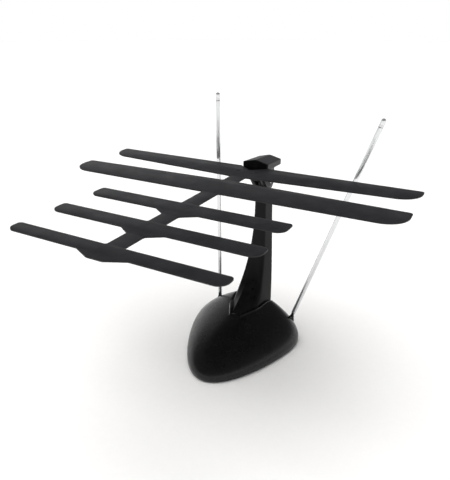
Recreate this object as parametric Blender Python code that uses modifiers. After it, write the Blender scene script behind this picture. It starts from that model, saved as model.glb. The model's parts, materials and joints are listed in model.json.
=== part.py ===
"""Indoor television antenna: a weighted dome base, a swept mast, a flat five-bar
UHF array that nods on the mast's head, and two telescopic VHF rods.

Frame: metres, +Z up, origin on the table under the middle of the base, -Y towards
the nose of the base and the short bars of the array, +X to the right.
"""
import math

import bmesh
import bpy
import numpy as np
from mathutils import Matrix, Vector

for leftover in list(bpy.data.objects):
    bpy.data.objects.remove(leftover, do_unlink=True)

# Driving dimensions, in metres and degrees.
GAP = 0.0003                # clearance between touching pieces

BASE_NOSE_Y = -0.0603
BASE_LENGTH = 0.1185
BASE_WIDTH_FACTOR = 0.068   # scales the half-width formula of the footprint
BASE_CENTRE_Y = 0.046       # the point in plan under the dome's crown
BASE_RIM_Z = 0.0046         # top of the upright rim
BASE_CROWN_Z = 0.0422
BASE_BOTTOM_Z = 0.0010
BASE_WALL = 0.0025

PAD_TOP_Z = 0.0015
COVER_Z = (0.0018, 0.0048)
BALLAST_Z = (0.0051, 0.0111)
BALLAST_SCALE = 0.64
BOARD_PAD_Z = (0.0114, 0.0137)
BOARD_Z = (0.0140, 0.0156)
BOARD_X = 0.017
BOARD_Y = (-0.030, 0.002)

PILLARS = ((0.0, -0.0455), (-0.0395, 0.022), (0.0395, 0.022))
PILLAR_RADIUS = 0.0035
SEAT_Z = (0.0220, 0.0270)   # floor of the pocket that the mast stands in
SEAT_WALL = 0.0035
POCKET_GAP = 0.0004
CABLE_HOLE = (0.0, 0.033, 0.003)
MAST_SCREW_X = 0.0095
MAST_SCREW_Y = 0.038
MAST_SCREW_HOLE = 0.0018
COVER_SCREW_HOLE = 0.0015
TAG_RECESS_TOP_Z = 0.0087
BOSS_RADIUS = 0.0052        # boss under each rod's post
POST_SEAT_RADIUS = 0.0030

SOCKET_Z = 0.0130
SOCKET_RADIUS = 0.0046
SOCKET_BORE = 0.0033
SOCKET_FLANGE = 0.0066

MAST_TOP_Z = 0.145
MAST_FOOT_Z = SEAT_Z[1] + GAP
MAST_WALL = 0.002
MAST_CAVITY_TOP_Z = 0.138
MAST_SOLID_FOOT_Z = 0.042
TOE_REACH = 0.0175          # how far the foot's toe stands out in front of its corners
TOE_TOP_Z = 0.058
TOE_FOOT_Z = 0.033          # the toe is full from here down
TOE_CREASE = 0.42           # half-width of the toe's flat front, as a share of the mast's

TILT_Y = 0.060
TILT_Z = 0.155
TILT_PIN_RADIUS = 0.0015
CHEEK_RADIUS = 0.009
CHEEK_X = (0.0030, 0.0075)
TONGUE_X = 0.0027
TONGUE_RADIUS = 0.0077

PLATE_TOP_Z = 0.172
PLATE_THICKNESS = 0.0012
BOOM_HALF_WIDTH = 0.0069
NOTCH_TIP_Y = 0.028
NOTCH_HALF_WIDTH = 0.0130
SADDLE_HALF_WIDTH = 0.0125
RIVET_X = 0.009
RIVET_Y = 0.0245

HEAD_FRONT_Y = 0.041
HEAD_BACK_Y = 0.0742
HEAD_HALF_WIDTH = 0.0125
HEAD_HALF_HEIGHT = 0.0059
HEAD_CENTRE_Z = 0.1726
HEAD_BACK_SCALE = 0.93
HEAD_DROP = 0.0022
HEAD_SCREW_Y = 0.0470
HEAD_SCREW_HOLE = 0.0015
HOPPER_HALF_WIDTH = 0.0141
HOPPER_DEPTH = 0.0046

ROD_PIVOT_X = 0.0415
ROD_PIVOT_Y = 0.0485
ROD_PIVOT_Z = 0.019
ROD_RADII = (0.00215, 0.0016, 0.00105, 0.0005)
ROD_WALL = 0.00025
ROD_TIP_LENGTH = 0.007
ROD_LENGTH = 0.2150         # pivot to tip, pushed in
ROD_TUBE_START = 0.006
ROD_INNER_START = 0.0155
LEFT_LEAN = -0.4
RIGHT_LEAN = 17.9


# Collections, finishes and small makers.
def new_collection(name):
    collection = bpy.data.collections.new(name)
    bpy.context.scene.collection.children.link(collection)
    return collection


PARTS = new_collection("rabbit_ears_antenna")
CUTTERS = new_collection("cutters")


def finish(name, colour, roughness, metallic=0.0):
    """A plain Principled material."""
    material = bpy.data.materials.new(name)
    material.use_nodes = True
    shader = material.node_tree.nodes["Principled BSDF"]
    shader.inputs["Base Color"].default_value = (*colour, 1.0)
    shader.inputs["Roughness"].default_value = roughness
    shader.inputs["Metallic"].default_value = metallic
    return material


GLOSS_BLACK = finish("gloss_black_abs", (0.012, 0.012, 0.013), 0.18)
SATIN_BLACK = finish("satin_black_abs", (0.016, 0.016, 0.017), 0.35)
CHARCOAL = finish("charcoal_paint", (0.035, 0.035, 0.038), 0.55)
CHROME = finish("chrome", (0.75, 0.75, 0.76), 0.08, 1.0)
STEEL = finish("zinc_steel", (0.45, 0.45, 0.46), 0.35, 1.0)
BLACK_STEEL = finish("blackened_steel", (0.03, 0.03, 0.032), 0.4, 1.0)
BRASS = finish("brass", (0.60, 0.42, 0.18), 0.3, 1.0)
RUBBER = finish("foam_rubber", (0.02, 0.02, 0.02), 0.9)
BOARD = finish("circuit_board", (0.05, 0.16, 0.06), 0.5)
FERRITE = finish("ferrite", (0.03, 0.03, 0.03), 0.6)
INSULATOR = finish("white_insulator", (0.75, 0.75, 0.72), 0.5)
SHEATH = finish("pvc_sheath", (0.03, 0.03, 0.03), 0.5)


def place(name, mesh, material, parent=None):
    """Put a mesh in the scene as a named part."""
    mesh.name = name
    part = bpy.data.objects.new(name, mesh)
    mesh.materials.clear()
    mesh.materials.append(material)
    PARTS.objects.link(part)
    part.parent = parent
    return part


def mesh_of(solid):
    """Turn a bmesh into a smooth-shaded mesh with sharp edges kept."""
    bmesh.ops.recalc_face_normals(solid, faces=solid.faces)
    mesh = bpy.data.meshes.new("solid")
    solid.to_mesh(mesh)
    solid.free()
    mesh.shade_smooth()
    mesh.set_sharp_from_angle(angle=math.radians(35))
    return mesh


def box_mesh(low, high):
    solid = bmesh.new()
    bmesh.ops.create_cube(solid, size=1.0)
    size = Vector(high) - Vector(low)
    middle = (Vector(high) + Vector(low)) / 2
    bmesh.ops.transform(solid, matrix=Matrix.Translation(middle) @ Matrix.Diagonal((*size, 1)),
                        verts=solid.verts)
    return mesh_of(solid)


def rod_mesh(start, end, radius, sides=24):
    """A cylinder between two points."""
    start = Vector(start)
    run = Vector(end) - start
    solid = bmesh.new()
    bmesh.ops.create_cone(solid, cap_ends=True, segments=sides, radius1=radius, radius2=radius,
                          depth=run.length)
    turn = run.to_track_quat("Z", "Y").to_matrix().to_4x4()
    bmesh.ops.transform(solid, matrix=Matrix.Translation(start + run / 2) @ turn,
                        verts=solid.verts)
    return mesh_of(solid)


def loft_mesh(rings):
    """Skin a stack of closed rings, each an (n, 3) array, and cap both ends."""
    solid = bmesh.new()
    loops = [[solid.verts.new(point) for point in ring] for ring in rings]
    count = len(loops[0])
    for lower, upper in zip(loops, loops[1:]):
        for i in range(count):
            j = (i + 1) % count
            solid.faces.new((lower[i], lower[j], upper[j], upper[i]))
    solid.faces.new(reversed(loops[0]))
    solid.faces.new(loops[-1])
    return mesh_of(solid)


def cutter(name, mesh):
    """A hidden tool that a Boolean uses."""
    mesh.name = name
    tool = bpy.data.objects.new(name, mesh)
    CUTTERS.objects.link(tool)
    tool.hide_render = True
    tool.display_type = "WIRE"
    return tool


def combine(target, tool, operation="DIFFERENCE"):
    modifier = target.modifiers.new(tool.name, "BOOLEAN")
    modifier.operation = operation
    modifier.object = tool
    modifier.solver = "EXACT"


def bevel(target, width, segments=2, angle=40):
    modifier = target.modifiers.new("edges", "BEVEL")
    modifier.width = width
    modifier.segments = segments
    modifier.limit_method = "ANGLE"
    modifier.angle_limit = math.radians(angle)


def turned(name, profile, material, parent=None, steps=20):
    """A turned piece about its local Z: the profile runs down its outer side."""
    mesh = bpy.data.meshes.new(name)
    edges = [(i, i + 1) for i in range(len(profile) - 1)]
    if profile[0][0] > 0 and profile[-1][0] > 0:
        edges.append((len(profile) - 1, 0))
    mesh.from_pydata([(radius, 0, height) for radius, height in profile], edges, [])
    part = place(name, mesh, material, parent)
    screw = part.modifiers.new("turning", "SCREW")
    screw.steps = steps
    screw.render_steps = steps
    screw.use_merge_vertices = True
    screw.merge_threshold = 0.00001
    return part


def tube_profile(outer, inner, low, high):
    return [(outer, high), (outer, low), (inner, low), (inner, high)]


def smooth_route(points, samples):
    """Catmull-Rom points through a route, evenly in its parameter."""
    knots = np.array([points[0], *points, points[-1]], float)
    route = []
    for t in np.linspace(0, len(points) - 1, samples):
        i = min(int(t), len(points) - 2)
        f = t - i
        a, b, c, d = knots[i:i + 4]
        route.append(0.5 * (2 * b + (c - a) * f + (2 * a - 5 * b + 4 * c - d) * f ** 2
                            + (3 * b - a - 3 * c + d) * f ** 3))
    return route


def wire(name, points, radius, material, samples=20):
    """A round lead along a smooth route."""
    curve = bpy.data.curves.new(name, "CURVE")
    curve.dimensions = "3D"
    curve.bevel_depth = radius
    curve.bevel_resolution = 2
    curve.use_fill_caps = True
    route = smooth_route(points, samples)
    spline = curve.splines.new("POLY")
    spline.points.add(len(route) - 1)
    for knot, point in zip(spline.points, route):
        knot.co = (*point, 1)
    part = bpy.data.objects.new(name, curve)
    curve.materials.append(material)
    PARTS.objects.link(part)
    return part


# The base: a dome over a nose-forward rounded triangle.
def footprint(share):
    """Half-width and y of the base's outline, share running 0 at the nose to 1 at the rear."""
    half_width = BASE_WIDTH_FACTOR * math.sqrt(share) * (1 - share ** 5.6) ** (1 / 3)
    return half_width, BASE_NOSE_Y + BASE_LENGTH * share


def footprint_ring(scale=1.0, sides=44):
    """Closed outline of the base, scaled about the point under the base's middle."""
    ring = []
    for i in range(sides):
        angle = 2 * math.pi * i / sides
        half_width, y = footprint(min(math.sin(angle / 2) ** 2, 1))
        side = 1 if angle <= math.pi else -1
        ring.append((side * half_width * scale, y * scale))
    return np.array(ring)


def dome_rings(inset=0.0, bottom=BASE_BOTTOM_Z, levels=9):
    """Rings from the bottom edge to the crown; inset shrinks them for the inside."""
    scale = 1 - inset / 0.050
    outline = footprint_ring(scale)
    crown = np.array((0, BASE_CENTRE_Y * scale))
    rings = [np.column_stack((outline, np.full(len(outline), bottom)))]
    for i in range(levels):
        angle = math.radians(84) * i / (levels - 1)
        reach = math.cos(angle) ** 2
        rise = math.sin(angle) ** 1.05
        z = BASE_RIM_Z + (BASE_CROWN_Z - BASE_RIM_Z) * rise - inset * rise
        ring = crown + (outline - crown) * reach
        rings.append(np.column_stack((ring, np.full(len(ring), z))))
    return rings


def slab(name, scale, heights, material):
    """A flat plate with the base's outline."""
    outline = footprint_ring(scale)
    rings = [np.column_stack((outline, np.full(len(outline), z))) for z in heights]
    return place(name, loft_mesh(rings), material)


def mast_ring(z, inset=0.0):
    """Rounded six-sided section of the mast: narrow in front, wide behind, with a toe that
    stands out in front of the foot."""
    drop = (MAST_TOP_Z - z) / (MAST_TOP_Z - MAST_FOOT_Z)
    front = 0.0054 + 0.0099 * drop ** 2.2 - inset
    front_y = 0.0543 - 0.0370 * drop ** 3.3 + inset
    back = 0.0076 + 0.0116 * drop ** 1.8 - inset
    back_y = 0.0675 - 0.0190 * drop ** 2.55 - inset
    share = min(max((TOE_TOP_Z - z) / (TOE_TOP_Z - TOE_FOOT_Z), 0), 1)
    toe = 0.0004 + TOE_REACH * share ** 2.2
    crease = front * TOE_CREASE * (1 - 0.25 * share ** 2)
    half = ((crease, front_y - toe), (front, front_y), (back, back_y))
    corners = (*half, *((-x, y) for x, y in reversed(half)))
    radius = max(0.28 * front, 0.0006)
    ring = rounded_corners([(x, y, radius) for x, y in corners], 4)
    return np.column_stack((ring, np.full(len(ring), z)))


def rounded_corners(corners, steps):
    """Replace each (x, y, radius) corner of a closed outline by an arc."""
    outline = []
    count = len(corners)
    for i, (x, y, radius) in enumerate(corners):
        corner = np.array((x, y))
        if radius == 0:
            outline.append(corner)
            continue
        before = np.array(corners[i - 1][:2]) - corner
        after = np.array(corners[(i + 1) % count][:2]) - corner
        before /= np.linalg.norm(before)
        after /= np.linalg.norm(after)
        half = math.acos(np.clip(before @ after, -1, 1)) / 2
        bisector = (before + after) / np.linalg.norm(before + after)
        centre = corner + bisector * radius / math.sin(half)
        first = corner + before * radius / math.tan(half) - centre
        last = corner + after * radius / math.tan(half) - centre
        for k in range(steps + 1):
            f = k / steps
            spread = math.pi - 2 * half
            weight = (math.sin((1 - f) * spread), math.sin(f * spread))
            outline.append(centre + (first * weight[0] + last * weight[1]) / math.sin(spread))
    return np.array(outline)


base_shell = place("base_shell", loft_mesh(dome_rings()), GLOSS_BLACK)
cavity = cutter("base_cavity", loft_mesh(dome_rings(BASE_WALL, bottom=-0.001)))
for number, (x, y) in enumerate(PILLARS):
    combine(cavity, cutter(f"pillar_{number}", rod_mesh((x, y, COVER_Z[1] + GAP), (x, y, 0.05),
                                                       PILLAR_RADIUS, 16)))
seat_outline = mast_ring(MAST_FOOT_Z, inset=-SEAT_WALL)[:, :2]
seat_rings = [np.column_stack((seat_outline, np.full(len(seat_outline), z)))
              for z in (SEAT_Z[0], BASE_CROWN_Z)]
combine(cavity, cutter("mast_seat", loft_mesh(seat_rings)))
for side in (-1, 1):
    corner = (side * ROD_PIVOT_X, ROD_PIVOT_Y)
    boss = rod_mesh((*corner, TAG_RECESS_TOP_Z), (*corner, 0.03), BOSS_RADIUS, 20)
    combine(cavity, cutter(f"corner_boss_{side}", boss))
combine(base_shell, cavity)
pocket_levels = (MAST_FOOT_Z, TOE_FOOT_Z, 0.036, 0.039, 0.042, 0.046, 0.052)
pocket = [mast_ring(z, inset=-POCKET_GAP) for z in pocket_levels]
pocket[0][:, 2] = SEAT_Z[1]
combine(base_shell, cutter("mast_pocket", loft_mesh(pocket)))
hole_x, hole_y, hole_radius = CABLE_HOLE
combine(base_shell, cutter("cable_hole", rod_mesh((hole_x, hole_y, 0.015), (hole_x, hole_y, 0.035),
                                                  hole_radius)))
for side in (-1, 1):
    foot = (side * MAST_SCREW_X, MAST_SCREW_Y)
    combine(base_shell, cutter(f"mast_screw_hole_{side}",
                               rod_mesh((*foot, 0.015), (*foot, 0.035), MAST_SCREW_HOLE, 16)))
    corner = (side * ROD_PIVOT_X, ROD_PIVOT_Y)
    combine(base_shell, cutter(f"post_seat_{side}",
                               rod_mesh((*corner, 0.0142), (*corner, 0.03), POST_SEAT_RADIUS)))
    combine(base_shell, cutter(f"tag_recess_{side}",
                               rod_mesh((*corner, 0.0045), (*corner, TAG_RECESS_TOP_Z),
                                        POST_SEAT_RADIUS, 20)))
    combine(base_shell, cutter(f"post_hole_{side}",
                               rod_mesh((*corner, 0.005), (*corner, 0.03), 0.0027, 20)))
for number, (x, y) in enumerate(PILLARS):
    combine(base_shell, cutter(f"pillar_hole_{number}",
                               rod_mesh((x, y, 0.001), (x, y, 0.0125), COVER_SCREW_HOLE, 12)))
combine(base_shell, cutter("socket_hole", rod_mesh((0, 0.040, SOCKET_Z), (0, 0.070, SOCKET_Z),
                                                   SOCKET_RADIUS + 0.0005)))

base_pad = slab("base_pad", 0.93, (0, PAD_TOP_Z), RUBBER)
base_cover = slab("base_cover", 0.938, COVER_Z, SATIN_BLACK)
for number, (x, y) in enumerate(PILLARS):
    combine(base_cover, cutter(f"cover_hole_{number}",
                               rod_mesh((x, y, 0), (x, y, 0.01), COVER_SCREW_HOLE, 12)))
    combine(base_cover, cutter(f"cover_counterbore_{number}",
                               rod_mesh((x, y, 0), (x, y, 0.0033), 0.0031, 16)))
    profile = [(0, 0.0106), (0.0012, 0.0100), (0.0012, 0.0033 - GAP),
               (0.0028, 0.0033 - GAP), (0.0028, 0.0021), (0, 0.0021)]
    screw = turned(f"cover_screw_{number + 1}", profile, STEEL, steps=12)
    screw.location = (x, y, 0)

ballast = slab("ballast_plate", BALLAST_SCALE, BALLAST_Z, STEEL)
bevel(ballast, 0.0006, 1)
board_pad = place("board_pad", box_mesh((-BOARD_X, BOARD_Y[0], BOARD_PAD_Z[0]),
                                        (BOARD_X, BOARD_Y[1], BOARD_PAD_Z[1])), RUBBER)
circuit_board = place("circuit_board", box_mesh((-BOARD_X, BOARD_Y[0], BOARD_Z[0]),
                                                (BOARD_X, BOARD_Y[1], BOARD_Z[1])), BOARD)
core_profile = tube_profile(0.0050, 0.0020, 0, 0.0050)
balun_core = turned("balun_core", core_profile, FERRITE, steps=20)
balun_core.location = (0, -0.014, BOARD_Z[1] + GAP)

# The aerial socket in the rear wall.
socket_profile = [(SOCKET_BORE, 0.0105), (SOCKET_RADIUS, 0.0105), (SOCKET_RADIUS, -0.0068),
                  (SOCKET_FLANGE, -0.0068), (SOCKET_FLANGE, -0.0090), (SOCKET_RADIUS, -0.0090),
                  (SOCKET_RADIUS, -0.0115), (0.0008, -0.0115), (0.0008, -0.0030),
                  (SOCKET_BORE, -0.0030)]
coax_socket = turned("coax_socket", socket_profile, CHROME, steps=24)
insulator_profile = tube_profile(SOCKET_BORE - GAP, 0.0006, -0.0030 + GAP, 0.0095)
coax_insulator = turned("coax_insulator", insulator_profile, INSULATOR, steps=16)
nut_mesh = rod_mesh((0, 0, 0.0010), (0, 0, 0.0036), SOCKET_FLANGE, 6)
coax_nut = place("coax_nut", nut_mesh, STEEL)
combine(coax_nut, cutter("nut_bore", rod_mesh((0, 0.05, SOCKET_Z), (0, 0.08, SOCKET_Z),
                                              SOCKET_RADIUS + GAP, 24)))
for piece in (coax_socket, coax_insulator, coax_nut):
    piece.location = (0, BASE_NOSE_Y + BASE_LENGTH + 0.0004, SOCKET_Z)
    piece.rotation_euler = (-math.pi / 2, 0, 0)

# The mast: a hollow swept column with a tongue for the head.
foot_levels = np.linspace(TOE_FOOT_Z, TOE_TOP_Z, 9)
shaft_levels = np.linspace(0.068, MAST_TOP_Z, 8)
mast_rings = [mast_ring(z) for z in (MAST_FOOT_Z, *foot_levels, *shaft_levels)]
mast = place("mast", loft_mesh(mast_rings), SATIN_BLACK)
inner_levels = (*np.linspace(MAST_SOLID_FOOT_Z, TOE_TOP_Z, 6),
                *np.linspace(0.072, MAST_CAVITY_TOP_Z, 5))
combine(mast, cutter("mast_cavity", loft_mesh([mast_ring(z, MAST_WALL) for z in inner_levels])))
tongue = cutter("mast_tongue", rod_mesh((-TONGUE_X, TILT_Y, TILT_Z), (TONGUE_X, TILT_Y, TILT_Z),
                                        TONGUE_RADIUS, 28))
combine(tongue, cutter("tongue_root", box_mesh((-TONGUE_X, TILT_Y - 0.0055, 0.143),
                                               (TONGUE_X, TILT_Y + 0.0068, TILT_Z))), "UNION")
combine(mast, tongue, "UNION")
combine(mast, cutter("tongue_bore", rod_mesh((0, TILT_Y, 0.136), (0, TILT_Y, TILT_Z),
                                             0.0016, 16)))
combine(mast, cutter("tongue_hole", rod_mesh((-0.01, TILT_Y, TILT_Z), (0.01, TILT_Y, TILT_Z),
                                             TILT_PIN_RADIUS + GAP, 20)))
combine(mast, cutter("foot_bore", rod_mesh((hole_x, hole_y, 0.02), (hole_x, hole_y + 0.006, 0.045),
                                           hole_radius, 20)))
for side in (-1, 1):
    foot = (side * MAST_SCREW_X, MAST_SCREW_Y)
    combine(mast, cutter(f"mast_thread_{side}",
                         rod_mesh((*foot, 0.02), (*foot, 0.0375), MAST_SCREW_HOLE, 16)))
    profile = [(0, 0.0368), (0.0015, 0.0360), (0.0015, SEAT_Z[0] - GAP),
               (0.0030, SEAT_Z[0] - GAP), (0.0030, 0.0195), (0, 0.0195)]
    screw = turned("mast_screw_left" if side < 0 else "mast_screw_right", profile, STEEL, steps=14)
    screw.location = (*foot, 0)

lead_route = ((0, -0.0035, 0.0170), (0, 0.008, 0.0178), (0, 0.022, 0.0180), (0, 0.0325, 0.0225),
              (0, 0.0358, 0.034), (0, 0.0384, 0.043), (0, 0.0455, 0.056), (0, 0.0545, 0.078),
              (0, 0.0595, 0.105), (0, 0.0600, 0.130), (0, 0.0600, TILT_Z - 0.0022))
feed_lead = wire("feed_lead", lead_route, 0.0011, SHEATH, 30)

# The nodding head: saddle, hexagonal cap and their pin.
tilt_profile = [(0, 0.0088), (0.0022, 0.0088), (0.0028, 0.0078), (TILT_PIN_RADIUS, 0.0078),
                (TILT_PIN_RADIUS, -0.0078), (0.0028, -0.0078), (0.0022, -0.0088), (0, -0.0088)]
tilt_pin = turned("tilt_pin", tilt_profile, STEEL, steps=20)
tilt_pin.location = (0, TILT_Y, TILT_Z)
tilt_pin.rotation_euler = (0, math.pi / 2, 0)


def side_profile_mesh(outline, half_width):
    """Extrude a closed (y, z) outline across X."""
    rings = [[(x, y, z) for y, z in outline] for x in (-half_width, half_width)]
    return loft_mesh(rings)


def head_mesh(grow=0.0):
    """Hexagonal bar along Y, a corner up, smaller and lower at the back."""
    solid = bmesh.new()
    bmesh.ops.create_cone(solid, cap_ends=True, segments=6, radius1=HEAD_BACK_SCALE, radius2=1,
                          depth=1)
    length = HEAD_BACK_Y - HEAD_FRONT_Y + 2 * grow
    width = (HEAD_HALF_WIDTH + grow) / math.cos(math.radians(30))
    height = HEAD_HALF_HEIGHT + grow
    shear = Matrix.Identity(4)
    shear[1][2] = HEAD_DROP / height
    size = Matrix.Diagonal((width, height, length, 1))
    turn = Matrix.Rotation(math.pi / 2, 4, "X")
    middle = ((HEAD_FRONT_Y + HEAD_BACK_Y) / 2, HEAD_CENTRE_Z - HEAD_DROP / 2)
    move = Matrix.Translation((0, *middle))
    bmesh.ops.transform(solid, matrix=move @ turn @ size @ shear, verts=solid.verts)
    return mesh_of(solid)


arc = [(TILT_Y + CHEEK_RADIUS * math.sin(a), TILT_Z - CHEEK_RADIUS * math.cos(a))
       for a in np.radians(np.linspace(-50, 90, 12))]
neck_outline = [(0.0680, 0.1655), (0.0415, 0.1655), (0.0425, 0.1615), *arc]
SADDLE_SECTIONS = (
    # y, bottom z, top z, half-width
    (0.0195, 0.1680, 0.1705, SADDLE_HALF_WIDTH),
    (0.0280, 0.1658, 0.1705, SADDLE_HALF_WIDTH),
    (0.0407, 0.1635, 0.1705, SADDLE_HALF_WIDTH),
    (0.0413, 0.1635, 0.1692, 0.0085),
    (0.0680, 0.1635, 0.1680, 0.0075),
)
saddle_rings = [[(-half, y, low), (half, y, low), (half, y, high), (-half, y, high)]
                for y, low, high, half in SADDLE_SECTIONS]
head_saddle = place("head_saddle", loft_mesh(saddle_rings), SATIN_BLACK)
neck = cutter("saddle_neck", side_profile_mesh(neck_outline, CHEEK_X[1]))
combine(head_saddle, neck, "UNION")
combine(head_saddle, cutter("saddle_slot", box_mesh((-CHEEK_X[0], 0.030, 0.140),
                                                    (CHEEK_X[0], 0.080, 0.1635))))
combine(head_saddle, cutter("head_bed", head_mesh(GAP)))

def hopper_mesh():
    """Four-sided pyramid lying along Y: it cuts a V that widens and deepens backwards."""
    solid = bmesh.new()
    bmesh.ops.create_cone(solid, cap_ends=True, segments=4, radius1=1, radius2=0, depth=1)
    length = HEAD_FRONT_Y - NOTCH_TIP_Y + 0.0002
    size = Matrix.Diagonal((HOPPER_HALF_WIDTH, HOPPER_DEPTH, length, 1))
    turn = Matrix.Rotation(math.pi / 2, 4, "X")
    move = Matrix.Translation((0, NOTCH_TIP_Y + length / 2, PLATE_TOP_Z - PLATE_THICKNESS / 2))
    bmesh.ops.transform(solid, matrix=move @ turn @ size, verts=solid.verts)
    return mesh_of(solid)


combine(head_saddle, cutter("saddle_hopper", hopper_mesh()))
combine(head_saddle, cutter("saddle_pin_hole",
                            rod_mesh((-0.01, TILT_Y, TILT_Z), (0.01, TILT_Y, TILT_Z),
                                     TILT_PIN_RADIUS + GAP, 20)))
head_cap = place("head_cap", head_mesh(), CHARCOAL)
for piece, word, top in ((head_saddle, "head_screw_hole", 0.1720), (head_cap, "head_thread", 0.1735)):
    combine(piece, cutter(word, rod_mesh((0, HEAD_SCREW_Y, 0.160), (0, HEAD_SCREW_Y, top),
                                         HEAD_SCREW_HOLE, 16)))
head_profile = [(0, 0.1730), (0.0012, 0.1724), (0.0012, 0.1632), (0.0026, 0.1632),
                (0.0026, 0.1614), (0, 0.1614)]
head_screw = turned("head_screw", head_profile, STEEL, steps=14)
head_screw.location = (0, HEAD_SCREW_Y, 0)

# The array: five bars on a boom, cut from one sheet.
BARS = (
    # half-length, front y at boom and tip, back y at tip and boom, front corner radius
    (0.0808, -0.1661, -0.1661, -0.1539, -0.1539, 0.007),
    (0.0819, -0.1276, -0.1276, -0.1124, -0.1124, 0.008),
    (0.0811, -0.0886, -0.0886, -0.0712, -0.0712, 0.008),
    (0.1470, -0.0409, -0.0409, -0.0126, -0.0074, 0.019),
    (0.1470, 0.0064, 0.0160, 0.0398, 0.0398, 0.019),
)
FLARES = ((0.0195, -0.1725, 0.0060), (0.0175, -0.1345, BOOM_HALF_WIDTH),
          (0.0177, -0.0960, BOOM_HALF_WIDTH))


def array_half():
    """Corners of the sheet's right half, from the nose round to the rear."""
    corners = []
    for number, (half, front, front_tip, back_tip, back, radius) in enumerate(BARS):
        if number < len(FLARES):
            wide, start, narrow = FLARES[number]
            corners.append((narrow, start, 0.003))
            corners.append((wide, front, 0.003))
        else:
            corners.append((BOOM_HALF_WIDTH, front, 0.0015))
        corners.append((half, front_tip, radius))
        corners.append((half, back_tip, 0.0025))
        if number < len(BARS) - 1:
            corners.append((BOOM_HALF_WIDTH, back, 0.0015))
    corners.append((NOTCH_HALF_WIDTH, back, 0))
    return corners


def circle(x, y, radius, sides=16):
    """Points of a round hole."""
    turns = [2 * math.pi * i / sides for i in range(sides)]
    return [(x + radius * math.cos(turn), y + radius * math.sin(turn)) for turn in turns]


half_outline = rounded_corners([(0, FLARES[0][1], 0), *array_half(), (0, NOTCH_TIP_Y, 0)], 4)
right_half = half_outline[1:-1]
left_half = right_half[::-1] * (-1, 1)
outline = [*right_half, (0, NOTCH_TIP_Y), *left_half]
rivet_holes = [circle(side * RIVET_X, RIVET_Y, 0.0016) for side in (-1, 1)]
sheet = bpy.data.curves.new("array_sheet", "CURVE")
sheet.dimensions = "2D"
sheet.fill_mode = "BOTH"
sheet.extrude = PLATE_THICKNESS / 2
for loop in (outline, *rivet_holes):
    spline = sheet.splines.new("POLY")
    spline.points.add(len(loop) - 1)
    for knot, (x, y) in zip(spline.points, loop):
        knot.co = (x, y, 0, 1)
    spline.use_cyclic_u = True
sheet_object = bpy.data.objects.new("array_sheet", sheet)
sheet_object.location = (0, 0, PLATE_TOP_Z - PLATE_THICKNESS / 2)
PARTS.objects.link(sheet_object)
bpy.context.view_layer.update()
evaluated = sheet_object.evaluated_get(bpy.context.evaluated_depsgraph_get())
sheet_mesh = bpy.data.meshes.new_from_object(evaluated)
welded = bmesh.new()
welded.from_mesh(sheet_mesh)
bmesh.ops.remove_doubles(welded, verts=welded.verts, dist=0.00001)
bmesh.ops.recalc_face_normals(welded, faces=welded.faces)
welded.to_mesh(sheet_mesh)
welded.free()
array_plate = place("array_plate", sheet_mesh, CHARCOAL)
array_plate.matrix_world = sheet_object.matrix_world
bpy.data.objects.remove(sheet_object, do_unlink=True)
for side in (-1, 1):
    spot = (side * RIVET_X, RIVET_Y)
    combine(head_saddle, cutter(f"rivet_socket_{side}", rod_mesh((*spot, 0.160), (*spot, 0.175),
                                                                 0.0016, 16)))
    profile = [(0, 0.0005), (0.0017, 0.00045), (0.0022, GAP), (0.0013, GAP), (0.0013, -0.0062),
               (0.0023, -0.0062), (0.0023, -0.0070), (0, -0.0070)]
    rivet = turned("plate_rivet_left" if side < 0 else "plate_rivet_right", profile, CHARCOAL,
                   steps=14)
    rivet.location = (*spot, PLATE_TOP_Z)


# The rods: a post, a pinned foot and four telescopic sections on each side.
def rod_post(side, word):
    """Forked metal post in the base's rear corner, with its screw, tag and lead."""
    x, y, z = side * ROD_PIVOT_X, ROD_PIVOT_Y, ROD_PIVOT_Z
    profile = [(0, 0.0022), (0.0016, 0.0021), (0.0026, 0.0006), (0.0026, -0.0045),
               (0.0024, -0.0045), (0.0024, -0.0098), (0, -0.0098)]
    post = turned(f"{word}_post", profile, BLACK_STEEL, steps=24)
    post.location = (x, y, z)
    combine(post, cutter(f"{word}_fork", box_mesh((x - 0.006, y - 0.0017, z - 0.0033),
                                                  (x + 0.006, y + 0.0017, z + 0.006))))
    combine(post, cutter(f"{word}_post_hole", rod_mesh((x, y - 0.006, z), (x, y + 0.006, z),
                                                       0.0009 + GAP, 16)))
    combine(post, cutter(f"{word}_post_thread", rod_mesh((x, y, 0.005), (x, y, 0.0137),
                                                         0.0015, 14)))
    profile = [(0, 0.0134), (0.0012, 0.0130), (0.0012, 0.0075), (0.0025, 0.0075),
               (0.0025, 0.0054), (0, 0.0054)]
    screw = turned(f"{word}_post_screw", profile, STEEL, steps=14)
    screw.location = (x, y, 0)
    tag = place(f"{word}_solder_tag", rod_mesh((x, y, 0.0078), (x, y, 0.0084), 0.0027, 18), BRASS)
    ear = cutter(f"{word}_tag_ear", box_mesh((x - 0.0014, y - 0.0090, 0.0078),
                                             (x + 0.0014, y, 0.0084)))
    combine(tag, ear, "UNION")
    combine(tag, cutter(f"{word}_tag_hole", rod_mesh((x, y, 0.005), (x, y, 0.010), 0.0015, 14)))
    pin_profile = [(0, 0.0026), (0.0009, 0.0026), (0.0009, -0.0026), (0, -0.0026)]
    pin = turned(f"{word}_rod_pin", pin_profile, STEEL, steps=16)
    pin.location = (x, y, z)
    pin.rotation_euler = (math.pi / 2, 0, 0)
    route = ((x, y - 0.0075, 0.0096), (x - side * 0.003, y - 0.0110, 0.0125),
             (side * 0.029, 0.026, 0.0145), (side * 0.021, 0.008, 0.0160),
             (side * 0.013, -0.003, 0.0168))
    wire(f"{word}_rod_lead", route, 0.0007, SHEATH, 14)


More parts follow.
